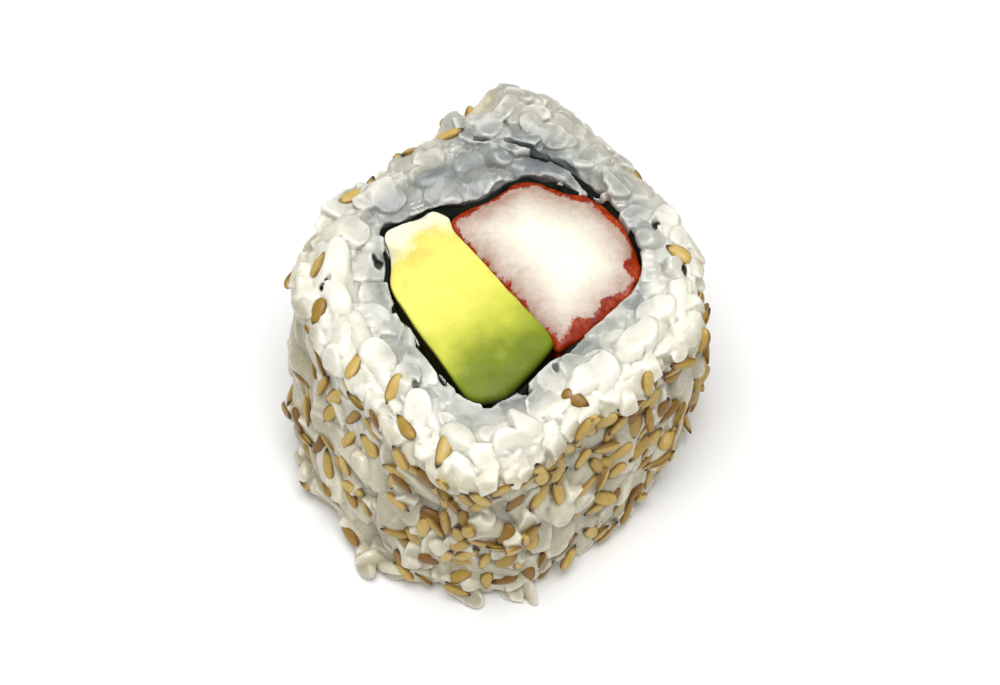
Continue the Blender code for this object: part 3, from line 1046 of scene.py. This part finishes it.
def lay_seeds(rice, local):
    """The centre and axes of each seed: on the rice, or on another seed, but never on two."""
    tree = BVHTree.FromObject(rice, bpy.context.evaluated_depsgraph_get())
    drift = Noise(10.0, 79)
    laid = []
    for place, normal in seed_spots(local):
        turn = float(lie_of(place[None])[0]) + 0.9 * float(drift(*place)) + local.normal(0.0, 0.6)
        turn += math.pi * (local.random() < 0.4)
        settled = settle(tree, place, normal, turn)
        if settled is None:
            continue
        centre, axes = settled
        crowd = sum(np.linalg.norm(centre - other) < 1.9 for other, _ in laid)
        if crowd > 1:
            continue
        if crowd:
            axes = tilted(axes, local.normal(0.0, 0.15), local.normal(0.0, 0.35))
        axes = tilted(axes, local.normal(0.0, 0.08), local.normal(0.0, 0.18))
        centre = centre + axes[2] * (0.45 * crowd - 0.05)
        lowest = centre[2] - abs(axes[0, 2]) * SEED_LENGTH / 2 - abs(axes[1, 2]) * SEED_WIDTH / 2
        if lowest >= 0.3:
            laid.append((centre, axes))
    return laid


def build_seeds(rice):
    """All the seeds in one mesh, each a little larger or smaller, bent and coloured its own way."""
    local = np.random.default_rng(77)
    laid = lay_seeds(rice, local)
    shape, faces, tips, rims = seed_shape()
    all_points, all_faces, tone = [], [], []
    for k, (centre, axes) in enumerate(laid):
        size = np.array([local.uniform(0.88, 1.1), local.uniform(0.85, 1.1), local.uniform(0.8, 1.15)])
        bent = shape * size
        bent = bent + np.outer(bent[:, 0] ** 2 * local.normal(0.0, 0.03), (0, 1, 0))
        all_points.append(centre + bent @ axes)
        all_faces += [tuple(i + k * len(shape) for i in face) for face in faces]
        tone.append(np.full(len(shape), local.random() ** 2.3))
    seeds = mesh_object("sesame_seeds", np.concatenate(all_points), all_faces)
    tips, rims = np.tile(tips, len(laid)), np.tile(rims, len(laid))
    set_attributes(seeds, tone=np.concatenate(tone), tip=tips, rim=rims)
    return seeds


# ---------------------------------------------------------------- materials

class Looks:
    """A material being put together from nodes. Colours are tuples of red, green and blue."""

    def __init__(self, name, colour, roughness):
        self.material = bpy.data.materials.new(name)
        self.material.use_nodes = True
        self.tree = self.material.node_tree
        self.shader = self.tree.nodes["Principled BSDF"]
        self.set("Base Color", colour)
        self.set("Roughness", roughness)

    def put(self, value, socket):
        """A number, a tuple or another node's output, into a socket."""
        if isinstance(value, bpy.types.NodeSocket):
            self.tree.links.new(value, socket)
        elif isinstance(value, tuple):
            socket.default_value = (*value, 1.0)[: len(socket.default_value)]
        else:
            socket.default_value = value

    def set(self, name, value):
        """A value for one of the shader's own sockets."""
        self.put(value, self.shader.inputs[name])

    def node(self, kind, inputs=None, **settings):
        made = self.tree.nodes.new("ShaderNode" + kind)
        for key, value in settings.items():
            setattr(made, key, value)
        for key, value in (inputs or {}).items():
            self.put(value, made.inputs[key])
        return made

    def attribute(self, name):
        return self.node("Attribute", attribute_name=name).outputs["Fac"]

    def noise(self, scale, detail=2.0, roughness=0.5, stretch=None):
        """Noise with bumps about 1 / scale metres across."""
        place = self.node("TexCoord").outputs["Object"]
        if stretch:
            place = self.node("Mapping", {"Vector": place, "Scale": stretch}).outputs["Vector"]
        inputs = {"Vector": place, "Scale": scale, "Detail": detail, "Roughness": roughness}
        return self.node("TexNoise", inputs).outputs["Fac"]

    def maths(self, operation, a, b):
        return self.node("Math", {0: a, 1: b}, operation=operation).outputs[0]

    def times(self, a, b):
        return self.maths("MULTIPLY", a, b)

    def about_zero(self, noise, size):
        """noise moved from around 0.5 to around 0, and scaled by size."""
        return self.times(self.maths("SUBTRACT", noise, 0.5), size)

    def ramp(self, value, *stops):
        """Colours at places along value."""
        made = self.node("ValToRGB", {"Fac": value})
        elements = made.color_ramp.elements
        while len(elements) < len(stops):
            elements.new(1.0)
        for element, (place, colour) in zip(elements, stops):
            element.position = place
            element.color = (*colour, 1.0)
        return made.outputs["Color"]

    def spread(self, value, low, high, out_low=0.0, out_high=1.0):
        """value brought from low..high to out_low..out_high, and kept between them."""
        inputs = {"Value": value, "From Min": low, "From Max": high, "To Min": out_low, "To Max": out_high}
        return self.node("MapRange", inputs, clamp=True).outputs["Result"]

    def mix(self, share, a, b, blend="MIX"):
        return self.node("Mix", {0: share, 6: a, 7: b}, data_type="RGBA", blend_type=blend).outputs[2]

    def tinted(self, share, colour, tint):
        """colour, multiplied by tint where share is 1."""
        return self.mix(share, colour, self.mix(1.0, colour, tint, "MULTIPLY"))

    def bump(self, height, distance, strength=1.0):
        """height raises the surface by distance (mm)."""
        made = self.node("Bump", {"Height": height, "Distance": distance * MM, "Strength": strength})
        self.set("Normal", made.outputs["Normal"])

    def scatter(self, weight, radius, scale):
        """Light that goes some way (scale in mm, times radius for each colour) under the surface."""
        self.set("Subsurface Weight", weight)
        self.set("Subsurface Radius", radius)
        self.set("Subsurface Scale", scale * MM)

    def give(self, thing):
        thing.data.materials.clear()
        thing.data.materials.append(self.material)


def rice_looks():
    looks = Looks("rice_looks", (0.8, 0.8, 0.75), 0.25)
    tone, inner = looks.attribute("tone"), looks.attribute("inner")
    crease, depth = looks.attribute("crease"), looks.attribute("depth")
    cloud = looks.noise(450.0, 3.0, 0.6)
    tone = looks.maths("ADD", looks.times(tone, 0.65), looks.spread(cloud, 0.3, 0.7, 0.0, 0.35))

    def shades(dark, middle, light, half=0.5):
        return looks.ramp(tone, (0.0, dark), (half, middle), (1.0, light))

    outer = shades((0.62, 0.605, 0.50), (0.82, 0.805, 0.69), (0.96, 0.945, 0.84), 0.4)
    # The side's colours: a darker, warmer copy of the rice's, as painted shade on the side away from the
    # light.
    wall = shades((0.43, 0.385, 0.26), (0.59, 0.54, 0.39), (0.80, 0.745, 0.58))
    # Greyer colours for the back of the cut face.
    clear = shades((0.30, 0.295, 0.245), (0.43, 0.425, 0.36), (0.68, 0.67, 0.59))
    # The colours by the nori: grey-blue, partly the translucent rice's own and partly painted shade.
    inside = shades((0.17, 0.195, 0.195), (0.30, 0.325, 0.315), (0.56, 0.58, 0.55))
    colour = looks.mix(looks.attribute("wall"), outer, wall)
    colour = looks.mix(looks.attribute("clear"), colour, clear)
    patchy = looks.spread(looks.noise(260.0, 2.0, 0.5), 0.35, 0.62, 0.35, 1.0)
    patchy = looks.maths("MAXIMUM", patchy, looks.attribute("clear"))
    colour = looks.mix(looks.times(inner, patchy), colour, inside)
    # Painted shade over the lowered rice between the nori's turns, with the bluish tint of the translucent
    # rice there.
    colour = looks.mix(looks.attribute("wedge"), colour, (0.14, 0.17, 0.19))
    # Painted shade: the rice a little darker in the creases where grains meet.
    colour = looks.mix(looks.times(crease, 0.2), colour, (0.50, 0.48, 0.39))
    edge = looks.attribute("edge")
    # Painted highlight: the convex edges of the grains whitened.
    colour = looks.mix(looks.spread(edge, 0.6, 0.95, 0.0, 0.45), colour, (0.98, 0.97, 0.90))
    # Painted shade: the hollows between grains darkened.
    colour = looks.mix(looks.spread(edge, 0.05, 0.42, 0.5, 0.0), colour, (0.34, 0.32, 0.25))
    # Painted shade: greyer the deeper the surface lies under the CAD surface.
    colour = looks.mix(looks.times(depth, 0.6), colour, (0.36, 0.36, 0.32))
    # Painted shadow: the pits near black inside.
    colour = looks.mix(looks.times(looks.attribute("pit"), 0.75), colour, (0.03, 0.03, 0.025))
    looks.set("Base Color", colour)
    looks.set("Roughness", looks.spread(looks.noise(900.0), 0.3, 0.7, 0.2, 0.4))
    looks.scatter(0.8, (1.0, 0.98, 0.92), 0.7)
    looks.set("Specular IOR Level", 0.5)
    looks.bump(looks.noise(1000.0, 3.0, 0.55), 0.1, 0.6)
    return looks


def seed_looks():
    looks = Looks("sesame_looks", (0.7, 0.5, 0.25), 0.38)
    tone, tip, rim = looks.attribute("tone"), looks.attribute("tip"), looks.attribute("rim")
    colour = looks.ramp(
        tone,
        (0.0, (0.64, 0.47, 0.14)),
        (0.4, (0.50, 0.345, 0.078)),
        (0.75, (0.36, 0.21, 0.032)),
        (1.0, (0.23, 0.105, 0.014)),
    )
    mottle = looks.spread(looks.noise(1800.0, 3.0, 0.6), 0.35, 0.75, 0.0, 0.5)
    colour = looks.tinted(mottle, colour, (0.7, 0.52, 0.34))
    # Painted shade: a dark outline along the edge of each seed.
    colour = looks.mix(looks.spread(rim, 0.25, 0.85, 0.0, 0.8), colour, (0.17, 0.075, 0.008))
    colour = looks.mix(looks.spread(tip, 0.06, 0.24, 1.0, 0.0), colour, (0.035, 0.012, 0.004))
    looks.set("Base Color", colour)
    looks.scatter(0.12, (1.0, 0.6, 0.3), 0.4)
    looks.set("Specular IOR Level", 0.4)
    looks.bump(looks.noise(2600.0, 2.0, 0.5), 0.06, 0.5)
    return looks


def nori_looks():
    looks = Looks("nori_looks", (0.01, 0.014, 0.009), 0.5)
    mottle = looks.noise(700.0, 4.0, 0.65)
    colour = looks.ramp(mottle, (0.3, (0.002, 0.003, 0.002)), (0.7, (0.010, 0.013, 0.008)))
    looks.set("Base Color", colour)
    looks.set("Roughness", looks.spread(mottle, 0.3, 0.7, 0.6, 0.85))
    looks.set("Specular IOR Level", 0.12)
    looks.bump(looks.noise(900.0, 4.0, 0.7, (1.0, 1.0, 0.35)), 0.1, 0.8)
    return looks


def crab_looks():
    looks = Looks("crab_stick_looks", (0.95, 0.92, 0.85), 0.35)
    inwards, skin = looks.attribute("inwards"), looks.attribute("skin")
    fibre = looks.noise(1500.0, 3.0, 0.6, (1.0, 1.0, 0.3))
    frayed = looks.maths("ADD", inwards, looks.about_zero(fibre, 1.3))
    body = looks.ramp(
        looks.spread(frayed, 0.0, 6.0),
        (0.0, (0.34, 0.17, 0.115)),
        (0.2, (0.46, 0.325, 0.26)),
        (0.48, (0.69, 0.605, 0.51)),
        (0.88, (0.93, 0.915, 0.75)),
    )
    cloud = looks.spread(looks.noise(500.0, 4.0, 0.6), 0.4, 0.75, 0.0, 0.3)
    body = looks.mix(cloud, body, (0.95, 0.93, 0.82))
    red = looks.ramp(
        looks.noise(1100.0, 3.0, 0.7, (1.0, 1.0, 0.4)),
        (0.3, (0.13, 0.007, 0.001)),
        (0.55, (0.32, 0.026, 0.002)),
        (0.8, (0.52, 0.10, 0.01)),
    )
    covered = looks.spread(looks.maths("SUBTRACT", skin, frayed), -0.12, 0.12)
    looks.set("Base Color", looks.mix(covered, body, red))
    looks.scatter(looks.spread(covered, 0.0, 1.0, 0.35, 0.0), (1.0, 0.6, 0.45), 0.8)
    looks.set("Specular IOR Level", 0.25)
    looks.bump(fibre, 0.12, 0.6)
    return looks


def avocado_looks():
    looks = Looks("avocado_looks", (0.8, 0.75, 0.2), 0.3)
    wander = looks.about_zero(looks.noise(220.0, 3.0, 0.55), 0.28)
    colour = looks.ramp(
        looks.maths("ADD", looks.attribute("along"), wander),
        (0.0, (0.93, 0.91, 0.74)),
        (0.12, (0.93, 0.89, 0.62)),
        (0.18, (0.86, 0.74, 0.18)),
        (0.24, (0.90, 0.83, 0.18)),
        (0.48, (0.88, 0.84, 0.16)),
        (0.64, (0.62, 0.64, 0.075)),
        (0.82, (0.20, 0.26, 0.009)),
        (1.0, (0.11, 0.155, 0.004)),
    )
    speck = looks.spread(looks.noise(1600.0, 3.0, 0.6), 0.4, 0.75, 0.0, 0.3)
    colour = looks.tinted(speck, colour, (0.8, 0.78, 0.6))
    bruise = looks.spread(looks.noise(300.0, 1.0, 0.4), 0.62, 0.74, 0.0, 0.35)
    colour = looks.tinted(bruise, colour, (0.78, 0.62, 0.5))
    # Painted shade: the side wall near black below the cut face.
    colour = looks.mix(looks.times(looks.attribute("sunk"), 0.92), colour, (0.012, 0.016, 0.006))
    looks.set("Base Color", colour)
    looks.set("Roughness", looks.spread(looks.noise(600.0), 0.3, 0.7, 0.35, 0.55))
    looks.set("Specular IOR Level", 0.22)
    looks.scatter(0.3, (1.0, 0.9, 0.3), 0.8)
    looks.bump(looks.noise(1300.0, 3.0, 0.6), 0.08, 0.5)
    return looks


# ---------------------------------------------------------------- camera, light and floor

VIEW_ELEVATION = math.radians(57.0)
VIEW_DISTANCE = 300.0 * MM
VIEW_TARGET = Vector((0.53, 1.36, 13.0)) * MM
LENS = 96.0
SKY_STRENGTH = 0.36
LIGHT_PLACE = Vector((0.0, -0.08, 0.55))
LIGHT_SIZE = 0.35
LIGHT_POWER = 2.9
FLOOR_REACH = 2e3


def aimed(name, data, place, target):
    """A camera or a light at place, looking at target."""
    made = scene_object(name, data)
    made.location = place
    made.rotation_euler = (target - place).to_track_quat("-Z", "Y").to_euler()
    return made


def stage():
    camera = bpy.data.cameras.new("camera")
    camera.lens = LENS
    camera.clip_start = 0.01
    away = Vector((0.0, -math.cos(VIEW_ELEVATION), math.sin(VIEW_ELEVATION)))
    place = VIEW_TARGET + away * VIEW_DISTANCE
    bpy.context.scene.camera = aimed("camera", camera, place, VIEW_TARGET)

    world = bpy.data.worlds.new("studio")
    world.use_nodes = True
    sky = world.node_tree.nodes["Background"].inputs
    sky["Color"].default_value = (1.0, 1.0, 1.0, 1.0)
    sky["Strength"].default_value = SKY_STRENGTH
    bpy.context.scene.world = world

    light = bpy.data.lights.new("overhead", "AREA")
    light.shape = "SQUARE"
    light.size = LIGHT_SIZE
    light.energy = LIGHT_POWER
    aimed("overhead", light, LIGHT_PLACE, Vector((0.0, 0.0, 0.0)))

    corners = np.array([[-1, -1, 0], [1, -1, 0], [1, 1, 0], [-1, 1, 0]]) * FLOOR_REACH
    floor = mesh_object("floor", corners, [(0, 1, 2, 3)])
    Looks("floor_looks", (0.93, 0.93, 0.93), 0.5).give(floor)
    bpy.context.scene.view_settings.view_transform = "Standard"


stage()
rice = build_rice()
pieces = (
    (rice, rice_looks(), "rice", "rice"),
    (build_seeds(rice), seed_looks(), None, "rice"),
    (build_nori(), nori_looks(), "nori", "nori"),
    (build_crab(), crab_looks(), "crab_stick", "crab_stick"),
    (build_avocado(), avocado_looks(), "avocado", "avocado"),
)
for piece, looks, node, slot in pieces:
    looks.give(piece)
    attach(piece, "root")
    if node:
        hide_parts(node)
